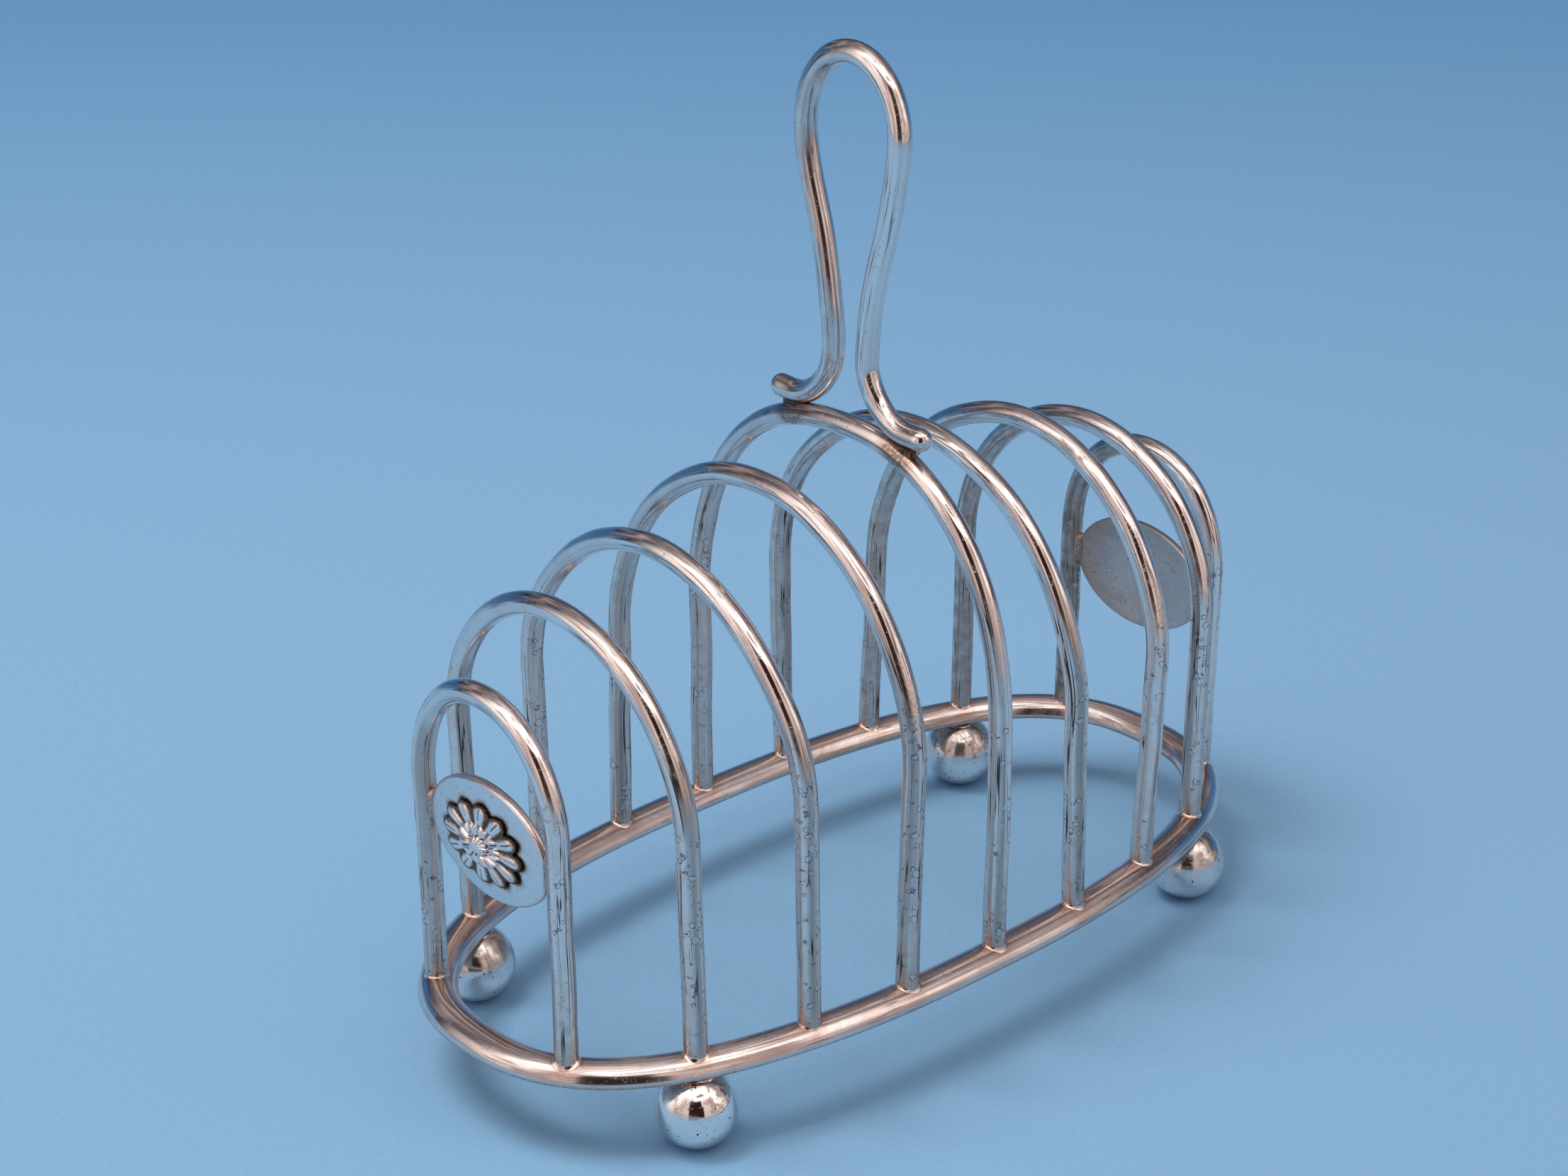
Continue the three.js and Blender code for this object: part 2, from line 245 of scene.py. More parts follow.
class Body:
    """Vertices, faces and per-point values gathered for one piece, in millimetres."""

    def __init__(self):
        self.vertices = []
        self.faces = []
        self.straight = []
        self.shades = {name: [] for name in SHADES}
        self.count = 0

    def add(self, vertices, faces, straight=None, **shades):
        vertices = np.asarray(vertices, float).reshape(-1, 3)
        self.vertices.append(vertices)
        self.faces += [tuple(int(v) + self.count for v in face) for face in faces]
        self.straight.append(vertices if straight is None else np.asarray(straight, float).reshape(-1, 3))
        for name in SHADES:
            values = np.asarray(shades.get(name, 0.0), float)
            if values.ndim:
                values = values.ravel()
            self.shades[name].append(np.broadcast_to(values, len(vertices)))
        self.count += len(vertices)


def grid_faces(rows, columns, close_rows=False, close_columns=True):
    """Quads between neighbouring points of a grid stored row by row."""
    faces = []
    for i in range(rows if close_rows else rows - 1):
        for j in range(columns if close_columns else columns - 1):
            a, b = i * columns + j, i * columns + (j + 1) % columns
            c, d = ((i + 1) % rows) * columns + (j + 1) % columns, ((i + 1) % rows) * columns + j
            faces.append((a, b, c, d))
    return faces


def end_faces(rows, columns):
    """Polygons that close both ends of a grid of closed rows."""
    first = tuple(range(columns))[::-1]
    last = tuple((rows - 1) * columns + j for j in range(columns))
    return [first, last]


def finish_piece(name, body, material, replaces=(), sharp=38.0):
    """Makes the object, in metres, and ties it to the frame."""
    mesh = bpy.data.meshes.new(name)
    mesh.from_pydata((np.concatenate(body.vertices) * MM).tolist(), [], body.faces)
    layer = mesh.attributes.new("straight", "FLOAT_VECTOR", "POINT")
    layer.data.foreach_set("vector", np.concatenate(body.straight).astype(np.float32).ravel())
    for shade, values in body.shades.items():
        layer = mesh.attributes.new(shade, "FLOAT", "POINT")
        layer.data.foreach_set("value", np.concatenate(values).astype(np.float32))
    mesh.validate()
    outwards(mesh)
    mesh.polygons.foreach_set("use_smooth", [True] * len(mesh.polygons))
    mesh.set_sharp_from_angle(angle=math.radians(sharp))
    mesh.materials.append(material)
    piece = bpy.data.objects.new(name, mesh)
    bpy.context.scene.collection.objects.link(piece)
    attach(piece, "root")
    if replaces:
        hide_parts(*replaces)
    return piece


def outwards(mesh):
    """Turns all faces to point out of the closed body."""
    work = bmesh.new()
    work.from_mesh(mesh)
    bmesh.ops.recalc_face_normals(work, faces=work.faces)
    work.to_mesh(mesh)
    work.free()


def tube(points, along, radius, sides=WIRE_SIDES):
    """Round wire along points of one plane x = const: grid of vertices and straightened coordinates."""
    tangent = np.gradient(points, axis=0)
    tangent /= np.linalg.norm(tangent, axis=1, keepdims=True)
    across = np.array([1.0, 0.0, 0.0])
    normal = np.cross(tangent, across)
    normal /= np.linalg.norm(normal, axis=1, keepdims=True)
    binormal = np.cross(normal, tangent)
    angle = np.arange(sides) * 2 * np.pi / sides
    radius = np.broadcast_to(radius, len(points))
    ring = (np.cos(angle)[None, :, None] * normal[:, None, :]
            + np.sin(angle)[None, :, None] * binormal[:, None, :])
    vertices = points[:, None, :] + radius[:, None, None] * ring
    straight = np.stack([
        WIRE_RADIUS * np.broadcast_to(np.cos(angle), vertices.shape[:2]),
        WIRE_RADIUS * np.broadcast_to(np.sin(angle), vertices.shape[:2]),
        np.broadcast_to(along[:, None], vertices.shape[:2]),
    ], axis=-1)
    return vertices, straight


def fade(distance, reach):
    return np.exp(-np.clip(distance, 0, None) / reach)


# ---- arches -------------------------------------------------------------------------------------------

def arch_wear(index, vertices, line):
    """Patina, dullness, and age with painted shade at each point of an arch."""
    half_width = ring_half_width(ARCHES[index][0])
    patina = 0.46 * fade(vertices[..., 2] - RING_TOP, 3.0)
    if index == MIDDLE:
        for side in (-1, 1):
            gap = np.hypot(vertices[..., 1] - (HANDLE_SHIFT + side * 12.9), vertices[..., 2] - 101.8)
            patina = np.maximum(patina, 0.60 * fade(gap - 3.2, 1.5))
    if index in (FIRST, LAST):
        gap = np.hypot(np.abs(vertices[..., 1]) - (half_width - WIRE_RADIUS),
                       np.clip(np.abs(vertices[..., 2] - PLATE_HEIGHT) - 3.5, 0, None))
        patina = np.maximum(patina, 0.50 * fade(gap, 0.45))
    upright = np.abs(np.gradient(line[:, 1]) / np.hypot(*np.gradient(line, axis=0).T))
    dull = np.clip((upright - 0.80) / 0.19, 0, 1)[:, None] + 0 * patina
    # painted shade: each arch is painted browner towards its +y side, further from the camera, and more so
    # on the arches further back
    across = np.clip((vertices[..., 1] / half_width + 0.4) / 1.2, 0, 1)
    age = ARCH_PAINTED_SHADE[index] * across ** 2 * (3 - 2 * across)
    # the legs are also darker towards the ring
    age = np.maximum(age, 0.42 * fade(vertices[..., 2] - RING_TOP - 4.0, 12.0))
    return {"patina": patina, "dull": dull, "age": age}


def add_arch(index, material):
    line, along = resample(arch_line(index), WIRE_STEP)
    seed = ARCH_SEED + index
    free = np.clip((line[:, 1] - RING_TOP) / 20, 0, 1)  # the feet stay where they are soldered
    sway = wobble(along, seed, WIRE_SWAY) * free
    dent = wobble(along, seed + 20, ARCH_DENT, 16, 45) * free
    points = np.column_stack([sway, line[:, 0] * (1 + dent / 60), line[:, 1] + dent * 0.4])
    radius = WIRE_RADIUS * (1 + wobble(along, seed + 40, 0.008, 6, 24))
    vertices, straight = tube(points, along, radius)
    straight[..., 2] += 300 * index
    vertices = to_row(index, vertices)
    for end in (0, 1, -2, -1):  # coped foot: the end follows the ring's rounded top
        rim = vertices[end]
        surface = ring_height(rim[:, 0], rim[:, 1])
        rim[:, 2] = surface - (FOOT_SINK if end in (0, -1) else -FOOT_CLEAR)
    body = Body()
    rows, columns = vertices.shape[:2]
    body.add(vertices, grid_faces(rows, columns) + end_faces(rows, columns), straight,
             **arch_wear(index, vertices, line))
    finish_piece(f"arch_wire_{index + 1}", body, material, [f"arch_{index + 1}"])


def leg_fillet(index, side, across):
    """Concave fillet round one foot: closed sections, each with a hidden inner point, all the way round."""
    offset, _, _, lean = ARCHES[index]
    around = 72
    angle = np.arange(around) * 2 * np.pi / around
    seed = LEG_SOLDER_SEED + 10 * index + side
    rise = 0.62 + round_wobble(angle, seed, 0.12)
    reach = 0.58 + round_wobble(angle, seed + 5, 0.14)
    centre = np.array([offset, side * ring_half_width(offset)])
    heading = np.column_stack([np.cos(angle), np.sin(angle)])

    def on_ring(distance):
        place = centre + heading * np.asarray(distance).reshape(-1, 1)
        return np.column_stack([place, ring_height(place[:, 0], place[:, 1])])

    corner = on_ring(np.full(around, WIRE_RADIUS))
    top = corner + np.column_stack([-0.05 * heading, rise])
    top[:, 0] += rise * math.tan(math.radians(lean))
    foot = on_ring(WIRE_RADIUS + reach)
    foot[:, 2] -= 0.05
    t = np.linspace(0, 1, across)[None, :, None]
    curve = (1 - t) ** 2 * top[:, None] + 2 * t * (1 - t) * corner[:, None] + t ** 2 * foot[:, None]
    hidden = on_ring(np.full(around, WIRE_RADIUS - 0.5))
    hidden[:, 2] -= 0.7
    return np.concatenate([curve, hidden[:, None]], axis=1)


def add_leg_solder(index, material):
    """The two solder fillets round the feet of an arch, dark along both edges."""
    body = Body()
    across = 9
    for side in (-1, 1):
        section = leg_fillet(index, side, across)
        rows, columns = section.shape[:2]
        edge = np.zeros((rows, columns))
        edge[:, 0] = edge[:, -2] = 0.75
        edge[:, 1] = edge[:, -3] = 0.15
        body.add(section, grid_faces(rows, columns, close_rows=True), patina=0.10 + edge)
    finish_piece(f"leg_solder_{index + 1}", body, material)


def web_outline(start, pull, stop):
    """Closed outline across a solder web: its concave side from start to stop, and the mirrored one."""
    t = np.linspace(0, 1, 8)[:, None]
    curve = (1 - t) ** 2 * np.array(start) + 2 * t * (1 - t) * np.array(pull) + t ** 2 * np.array(stop)
    curve[:, 0] = np.maximum(curve[:, 0], 0.02)
    return np.concatenate([curve, curve[::-1] * (-1, 1)])


# ---- handle -------------------------------------------------------------------------------------------

def round_caps(vertices, points, radius):
    """Rings that close both ends of a wire with half a ball: those before it and those after it."""
    turn = np.linspace(0, np.pi / 2, HANDLE_CAP_STEPS + 1)[1:-1, None, None]
    caps = []
    for end, heading in ((0, points[0] - points[1]), (-1, points[-1] - points[-2])):
        heading = heading / np.linalg.norm(heading)
        rim = vertices[end] - points[end]
        caps.append(points[end] + np.cos(turn) * rim[None] + np.sin(turn) * heading * radius[end])
    return caps[0][::-1], caps[1]


def add_handle(material):
    line, along = resample(handle_line(), WIRE_STEP * 0.8)
    free = np.clip((line[:, 1] - 106) / 15, 0, 1)
    sway = wobble(along, HANDLE_SEED, WIRE_SWAY) * free
    dent = wobble(along, HANDLE_SEED + 20, HANDLE_DENT, 16, 45) * free
    points = np.column_stack([sway, line[:, 0] + dent, line[:, 1]])
    radius = WIRE_RADIUS * (1 + wobble(along, HANDLE_SEED + 40, 0.01, 6, 24))
    vertices, straight = tube(points, along, radius)
    straight[..., 2] += 5000
    lead, tail = round_caps(vertices, points, radius)
    vertices = np.concatenate([lead, vertices, tail])
    straight = np.concatenate([
        np.repeat(straight[:1], len(lead), axis=0), straight, np.repeat(straight[-1:], len(tail), axis=0)])
    patina = 0.85 * fade(vertices[..., 2] - 102.2, 0.7)
    dull = 0.20 * np.clip((vertices[..., 2] - 108) / 10, 0, 1)
    # painted shade: the handle is painted browner towards +y, the half further from the camera
    age = 0.35 * np.clip(0.5 + (vertices[..., 1] - HANDLE_SHIFT) / 10, 0, 1)
    vertices = to_row(MIDDLE, vertices) - (0, 0, HANDLE_SETTLES)
    body = Body()
    rows, columns = vertices.shape[:2]
    body.add(vertices, grid_faces(rows, columns) + end_faces(rows, columns), straight,
             patina=patina, dull=dull, age=age)
    finish_piece("handle_wire", body, material, ["loop_handle"])


def handle_web_section(base, over, swell):
    """Outline across the web between a point of the arch's line and the handle's line above it."""
    direction = over - base
    gap = np.linalg.norm(direction)
    direction = direction / gap
    spread = math.radians(36) * swell + 0.03
    side_reach, side_rise = WIRE_RADIUS * math.sin(spread), WIRE_RADIUS * math.cos(spread)
    start = (side_reach, side_rise - 0.02)
    stop = (side_reach, gap - side_rise + 0.02)
    if stop[1] < start[1]:
        start = stop = (start[0], (start[1] + stop[1]) / 2)
    depth = 0.35 * math.sin(spread)
    pull = (start[0] - depth - 0.3 * (stop[1] - start[1]), (start[1] + stop[1]) / 2)
    outline = web_outline(start, pull, stop)
    return np.column_stack([
        outline[:, 0], base[0] + outline[:, 1] * direction[0], base[1] + outline[:, 1] * direction[1]])


def add_handle_solder(material):
    """Solder webs between the handle's feet and the crown of the middle arch."""
    body = Body()
    handle, _ = resample(handle_line(), 0.25)
    arch, _ = resample(arch_line(MIDDLE), 0.25)
    crown = arch[arch[:, 1] > 80]
    steps = 41
    for side in (-1, 1):
        middle = HANDLE_SHIFT + side * (13.2 if side > 0 else 12.4)
        low = handle[(handle[:, 1] < 112) & (np.sign(handle[:, 0] - HANDLE_SHIFT) == side)]
        rows = []
        for k, y in enumerate(np.linspace(middle - 3.6, middle + 3.6, steps)):
            base = crown[np.argmin(np.abs(crown[:, 0] - y))]
            over = low[np.argmin(((low - base) ** 2).sum(1))] - (0, HANDLE_SETTLES)
            swell = 1 - abs(2 * k / (steps - 1) - 1) ** 2.4
            swell *= 1 + float(wobble(y, HANDLE_SOLDER_SEED + side, 0.10, 3, 9))
            rows.append(handle_web_section(base, over, swell))
        grid = to_row(MIDDLE, np.array(rows))
        body.add(grid, grid_faces(*grid.shape[:2]) + end_faces(*grid.shape[:2]), patina=0.95)
    finish_piece("handle_solder", body, material)


# ---- ring and balls -----------------------------------------------------------------------------------

def ring_section():
    """Half-round section, flat side down with eased corners, as (outward, up) from its middle."""
    radius = RING_SECTION_RADIUS
    edge = math.radians(9)
    arc = np.linspace(edge, np.pi - edge, 29)
    top = np.column_stack([radius * np.cos(arc), radius * np.sin(arc)])
    right = bezier([(radius - 0.45, 0), (radius, 0), tuple(top[0])], 5)[:-1]
    left = right[::-1] * (-1, 1)
    flat = np.column_stack([np.linspace(-(radius - 0.45), radius - 0.45, 9), np.zeros(9)])
    return np.concatenate([flat, right, top, left])


def joint_places():
    """Where the legs stand on the ring, as (x, y)."""
    return np.array([(arch[0], side * ring_half_width(arch[0])) for arch in ARCHES for side in (-1, 1)])


def add_ring(material):
    section = ring_section()
    swell = 1 + wobble(RING_ALONG / RING_ALONG[-1] * 440, RING_SEED, 0.006, 44, 110)
    lift = wobble(RING_ALONG, RING_SEED + 20, 0.07, 40, 110)
    fit = np.sin(np.pi * np.arange(RING_STEPS) / RING_STEPS) ** 0.5  # keeps the seam of the ring closed
    swell = 1 + (swell - 1) * fit
    lift = lift * fit
    outward = section[None, :, 0] * swell[:, None]
    vertices = np.stack([
        RING_POINTS[:, None, 0] + RING_OUTWARD[:, None, 0] * outward,
        RING_POINTS[:, None, 1] + RING_OUTWARD[:, None, 1] * outward,
        RING_UNDERSIDE + section[None, :, 1] * swell[:, None] + lift[:, None],
    ], axis=-1)
    straight = np.stack([
        np.broadcast_to(section[:, 0], vertices.shape[:2]),
        np.broadcast_to(section[:, 1], vertices.shape[:2]),
        np.broadcast_to(RING_ALONG[:, None], vertices.shape[:2]),
    ], axis=-1) + (0, 0, 7000)
    gap = np.linalg.norm(vertices[..., None, :2] - joint_places(), axis=-1).min(-1)
    patina = 0.36 * fade(gap - 2.6, 1.3)
    under = fade(vertices[..., 2] - RING_UNDERSIDE - 0.35, 0.35)
    patina = np.maximum(patina, 0.55 * under)
    body = Body()
    rows, columns = vertices.shape[:2]
    body.add(vertices, grid_faces(rows, columns, close_rows=True), straight, patina=patina, age=0.25)
    finish_piece("ring_band", body, material, ["base_ring"], sharp=50)


def ball_profile():
    """Outline of a ball foot from its worn flat up to its neck, as (radius, z), and the neck's rows."""
    centre = math.sqrt(BALL_RADIUS ** 2 - BALL_FLAT_RADIUS ** 2)
    first = -math.acos(BALL_FLAT_RADIUS / BALL_RADIUS)
    last = math.acos((BALL_NECK_RADIUS + 0.5) / BALL_RADIUS)
    arc = np.linspace(first, last, 58)
    ball = np.column_stack([BALL_RADIUS * np.cos(arc), centre + BALL_RADIUS * np.sin(arc)])
    throat = (BALL_NECK_RADIUS, (ball[-1, 1] + RING_UNDERSIDE) / 2)
    neck = bezier([tuple(ball[-1]), throat, (BALL_NECK_RADIUS + 0.4, RING_UNDERSIDE + 0.08)], 10)
    flat = np.array([[0.5, 0], [1.1, 0]])
    inner = np.array([[1.2, RING_UNDERSIDE + 0.1]])
    start = len(flat) + len(ball)
    return np.concatenate([flat, ball, neck, inner]), slice(start, start + len(neck)), centre


def add_ball(number, arch, side, material):
    """Turned ball with a short neck of solder up to the ring. Only the first is freshly polished."""
    offset = ARCHES[arch][0]
    profile, neck_rows, centre = ball_profile()
    around = 96
    angle = np.arange(around) * 2 * np.pi / around
    grow = np.ones((len(profile), around))
    grow[neck_rows] = 1 + round_wobble(angle, BALL_SEED + number, 0.05)
    radius = profile[:, :1] * grow
    middle = np.array([offset, side * ring_half_width(offset), centre])
    vertices = np.stack([
        middle[0] + radius * np.cos(angle),
        middle[1] + radius * np.sin(angle),
        np.broadcast_to(profile[:, 1:], radius.shape),
    ], axis=-1)
    straight = vertices - middle + (40 * number, 0, 0)
    patina = 1.05 * fade(13.6 - vertices[..., 2], 0.45)
    polished = number == 1
    # the balls after the first are browner on their upper halves: old lacquer and painted shade
    age = 0.0 if polished else 0.50 * np.clip((vertices[..., 2] - 6.5) / 3, 0, 1)
    body = Body()
    rows, columns = vertices.shape[:2]
    body.add(vertices, grid_faces(rows, columns) + end_faces(rows, columns), straight, patina=patina,
             dull=0.0 if polished else 0.2, age=age)
    finish_piece(f"ball_{number}", body, material, [f"ball_foot_{number}"])


# ---- end plates ---------------------------------------------------------------------------------------

def badge_outline(angle):
    """Share of the badge's half sizes that its outline reaches at an angle."""
    return 1 - BADGE_PETAL_DEPTH * (1 - np.abs(np.cos(BADGE_PETALS * angle / 2)))


def plate_profile():
    """Section of an end plate from its middle round the rim and back: share of the half size, and depth."""
    half = PLATE_THICKNESS / 2
    share = np.concatenate([np.linspace(0.02, 0.93, 26), [0.95, 0.965, 0.978, 0.988]])
    dome = PLATE_BULGE * (1 - share ** 2)
    ease = 0.22 * np.clip((share - 0.95) / 0.04, 0, 1) ** 2
    front = np.column_stack([share, dome + half - ease])
    rim = np.array([[0.997, 0.32], [1.0, 0.1], [1.0, -0.25], [0.997, -0.45]])
    back = np.column_stack([share, dome - half + ease * 0.6])[::-1]
    return np.concatenate([front, rim, back])


def plate_wear(index, profile, y, z):
    """Patina and age at each point of an end plate, with a painted highlight and painted shade on the back
    dish.
    """
    across, up = y / PLATE_HALF_WIDTH, z / PLATE_HALF_HEIGHT
    edge = fade(PLATE_HALF_WIDTH * (1 - profile[:, :1]) + 0 * y, 0.5)
    side = fade(np.hypot(PLATE_HALF_WIDTH - np.abs(y), np.clip(np.abs(z) - 2.8, 0, None)), 0.5)
    patina = 0.30 * edge + 0.5 * side
    # painted shade: slightly browner towards +y, further from the camera
    age = 0.1 * (0.5 + 0.5 * across)
    if index == FIRST:  # dark halo in the corner round the badge, on the outer face
        y_share, z_share = y / BADGE_HALF_WIDTH, z / BADGE_HALF_HEIGHT
        reach = np.hypot(y_share, z_share) / badge_outline(np.arctan2(y_share, z_share))
        halo = fade((reach - 1.0) * BADGE_HALF_HEIGHT, 0.50) * (profile[:, 1:] > 0.4)
        patina = np.maximum(patina, 1.5 * halo)
    else:  # painted highlight and shade: a warm painted highlight in the middle, painted shade darker towards one side
        painted_warm_highlight = np.exp(-((y + 3.0) / 6.0) ** 2 - ((z + 3.0) / 6.0) ** 2)
        outer = np.clip((np.hypot(across, up) - 0.35) / 0.6, 0, 1)
        outer = outer * np.clip(0.5 + 0.6 * across + 0.1 * up, 0, 1)
        patina = np.maximum(patina, np.maximum(0.36 * painted_warm_highlight, 0.50 * outer ** 1.5))
        age = 0.25 + 0.60 * outer
    return {"patina": patina, "age": age}


def add_plate(name, node, index, outward, material):
    """Thin oval dish with an eased rim between the legs of an end arch."""
    profile = plate_profile()
    around = 160
    angle = np.arange(around) * 2 * np.pi / around
    y = PLATE_HALF_WIDTH * profile[:, :1] * np.cos(angle)
    z = PLATE_HALF_HEIGHT * profile[:, :1] * np.sin(angle)
    ripple = 0.05 * np.sin(y / 4.1 + 1.2 * outward) * np.cos(z / 3.3 + 0.6)
    x = profile[:, 1:] + ripple
    vertices = to_row(index, np.stack([outward * x, y, z + PLATE_HEIGHT], axis=-1))
    straight = np.stack([y, z, outward * x + 90 * index], axis=-1)
    body = Body()
    rows, columns = vertices.shape[:2]
    body.add(vertices, grid_faces(rows, columns) + end_faces(rows, columns), straight,
             dull=0.30, **plate_wear(index, profile, y, z))
    finish_piece(name, body, material, [node], sharp=30)


def plate_web_section(z, swell, half_width):
    """Outline across the web between a leg and the plate's edge at height z above the plate's middle."""
    edge = PLATE_HALF_WIDTH * math.sqrt(1 - (z / PLATE_HALF_HEIGHT) ** 2)
    spread = math.radians(38) * swell + 0.03
    leg = (WIRE_RADIUS * math.sin(spread), half_width - WIRE_RADIUS * math.cos(spread) + 0.03)
    plate = ((PLATE_THICKNESS / 2 + 0.03) * min(1, swell * 1.4) + 0.02, edge - 0.9 * swell - 0.02)
    pull = (0.62 * leg[0] + 0.1, (leg[1] + plate[1]) / 2 + 0.1)
    return web_outline(leg, pull, plate)


def add_plate_solder(index, material):
    """Solder webs that hold a plate between the two legs of its arch."""
    body = Body()
    half_width = ring_half_width(ARCHES[index][0])
    steps = 33
    for side in (-1, 1):
        rows = []
        for k, z in enumerate(np.linspace(-3.4, 3.4, steps)):
            swell = (1 - abs(2 * k / (steps - 1) - 1) ** 2.2) ** 0.8
            swell *= 1 + float(wobble(z, PLATE_SOLDER_SEED + 10 * index + side, 0.08, 3, 8))
            outline = plate_web_section(z, swell, half_width)
            rows.append(np.column_stack([
                outline[:, 0], side * outline[:, 1], np.full(len(outline), PLATE_HEIGHT + z)]))
        grid = to_row(index, np.array(rows))
        body.add(grid, grid_faces(*grid.shape[:2]) + end_faces(*grid.shape[:2]), patina=0.55)
    finish_piece(f"plate_solder_{index + 1}", body, material)


def badge_relief(angle, share):
    """Height of the rosette over its plate, and how deep the fine flutes of its outer petals are."""
    outer = np.abs(np.cos(BADGE_PETALS * angle / 2))[None]
    inner = np.abs(np.sin(BADGE_PETALS * angle / 2))[None]
    petal = outer ** 0.55 * np.clip(1 - ((share - 0.74) / 0.27) ** 4, 0, 1)
    flute = np.abs(np.sin(3 * BADGE_PETALS * angle / 2))[None] ** 0.35
    petal *= 1 - 0.34 * (1 - flute) * (share > 0.62) * (share < 0.93)
    leaf_end = 0.60 - 0.05 * (1 - inner)
    leaf = inner ** 0.5 * np.clip(1 - ((share - 0.42) / (leaf_end - 0.42)) ** 4, 0, 1) * (share > 0.24)
    beads = np.sqrt(np.clip(1 - ((share - 0.30) / 0.035) ** 2, 0, 1)) * (0.35 + 0.65 * inner ** 2)
    boss = np.sqrt(np.clip(1 - (share / 0.235) ** 2, 0, 1))
    height = 0.28 + 0.62 * petal
    height = np.maximum(height, 0.35 + 0.85 * leaf)
    height = np.maximum(height, 0.55 + 0.42 * beads)
    height = np.maximum(height, 0.55 + 1.05 * boss)
    return height, 0.9 * (1 - flute) * (share > 0.64) * (share < 0.92)


def add_badge(material):
    """Oval rosette in relief: an outer and an inner row of petals, a beaded circle and a domed boss."""
    around, steps = 384, 64
    angle = np.arange(around) * 2 * np.pi / around
    share = np.linspace(0.02, 1, steps)[:, None]
    height, groove = badge_relief(angle, share)
    reach = share * badge_outline(angle)[None]
    z = BADGE_HALF_HEIGHT * reach * np.cos(angle)
    y = BADGE_HALF_WIDTH * reach * np.sin(angle)
    off_middle = (y / PLATE_HALF_WIDTH) ** 2 + (z / PLATE_HALF_HEIGHT) ** 2
    face = PLATE_THICKNESS / 2 + PLATE_BULGE * (1 - off_middle)
    top = np.stack([face + height, y, z], axis=-1)
    low = np.stack([face[-1] - 0.1, y[-1], z[-1]], axis=-1)[None]
    local = np.concatenate([top, low]) * (-1, 1, 1) + (0, 0, PLATE_HEIGHT)
    vertices = to_row(FIRST, local)
    hollow = 1 - np.clip((height - 0.35) / 0.45, 0, 1)
    patina = np.concatenate([np.maximum(1.6 * hollow, groove), np.full((1, around), 1.3)])
    straight = local[..., [1, 2, 0]]
    body = Body()
    rows, columns = vertices.shape[:2]
    body.add(vertices, grid_faces(rows, columns) + end_faces(rows, columns), straight,
             patina=patina, dull=0.3)
    finish_piece("rosette", body, material, ["rosette_badge"], sharp=60)


# ---- materials ----------------------------------------------------------------------------------------

def empty_material(name):
    """A material with an empty node tree, and the Nodes that fill it."""
    material = bpy.data.materials.new(name)
    material.use_nodes = True
    material.node_tree.nodes.clear()
    return material, Nodes(material.node_tree)


class Nodes:
    """Short way to add and join shader nodes."""

    def __init__(self, tree):
        self.tree = tree

    def add(self, kind, inputs=None, **settings):
        node = self.tree.nodes.new(kind)
        for key, value in settings.items():
            setattr(node, key, value)
        for key, value in (inputs or {}).items():
            if isinstance(value, bpy.types.NodeSocket):
                self.tree.links.new(value, node.inputs[key])
            else:
                node.inputs[key].default_value = value
        return node

    def math(self, operation, a, b=0.0):
        return self.add("ShaderNodeMath", {0: a, 1: b}, operation=operation).outputs[0]

    def times(self, first, *others):
        for other in others:
            first = self.math("MULTIPLY", first, other)
        return first

    def scaled(self, vector, scale):
        return self.add("ShaderNodeVectorMath", {0: vector, 1: scale}, operation="MULTIPLY").outputs[0]

    def dot(self, vector, other):
        node = self.add("ShaderNodeVectorMath", {0: vector, 1: other}, operation="DOT_PRODUCT")
        return node.outputs["Value"]

    def noise(self, vector, scale, detail=2.0, roughness=0.5, distortion=0.0):
        inputs = {"Vector": vector, "Scale": scale, "Detail": detail, "Roughness": roughness,
                  "Distortion": distortion}
        return self.add("ShaderNodeTexNoise", inputs).outputs["Fac"]

    def band(self, value, low, high, to_low=0.0, to_high=1.0):
        inputs = {"Value": value, "From Min": low, "From Max": high, "To Min": to_low, "To Max": to_high}
        return self.add("ShaderNodeMapRange", inputs, interpolation_type="SMOOTHSTEP").outputs[0]

    def mix(self, factor, a, b):
        node = self.add("ShaderNodeMix", data_type="RGBA")
        for socket, value in ((node.inputs[0], factor), (node.inputs[6], a), (node.inputs[7], b)):
            if isinstance(value, bpy.types.NodeSocket):
                self.tree.links.new(value, socket)
            else:
                socket.default_value = value
        return node.outputs[2]


CLEAN = (0.93, 0.89, 0.87, 1)
ROSY = (0.85, 0.70, 0.67, 1)
GREY = (0.93, 0.79, 0.72, 1)
DRAWN = (0.40, 0.34, 0.31, 1)
# brown of old lacquer and smoke, also the colour of painted shade on the parts further from the camera
SMOKE_AND_PAINTED_SHADE = (0.36, 0.29, 0.25, 1)
COPPER = (0.62, 0.45, 0.37, 1)
BROWN = (0.19, 0.115, 0.08, 1)
BLACK = (0.025, 0.02, 0.018, 1)
LINE = (0.05, 0.04, 0.04, 1)
BLISTER_RIM = (0.13, 0.12, 0.12, 1)


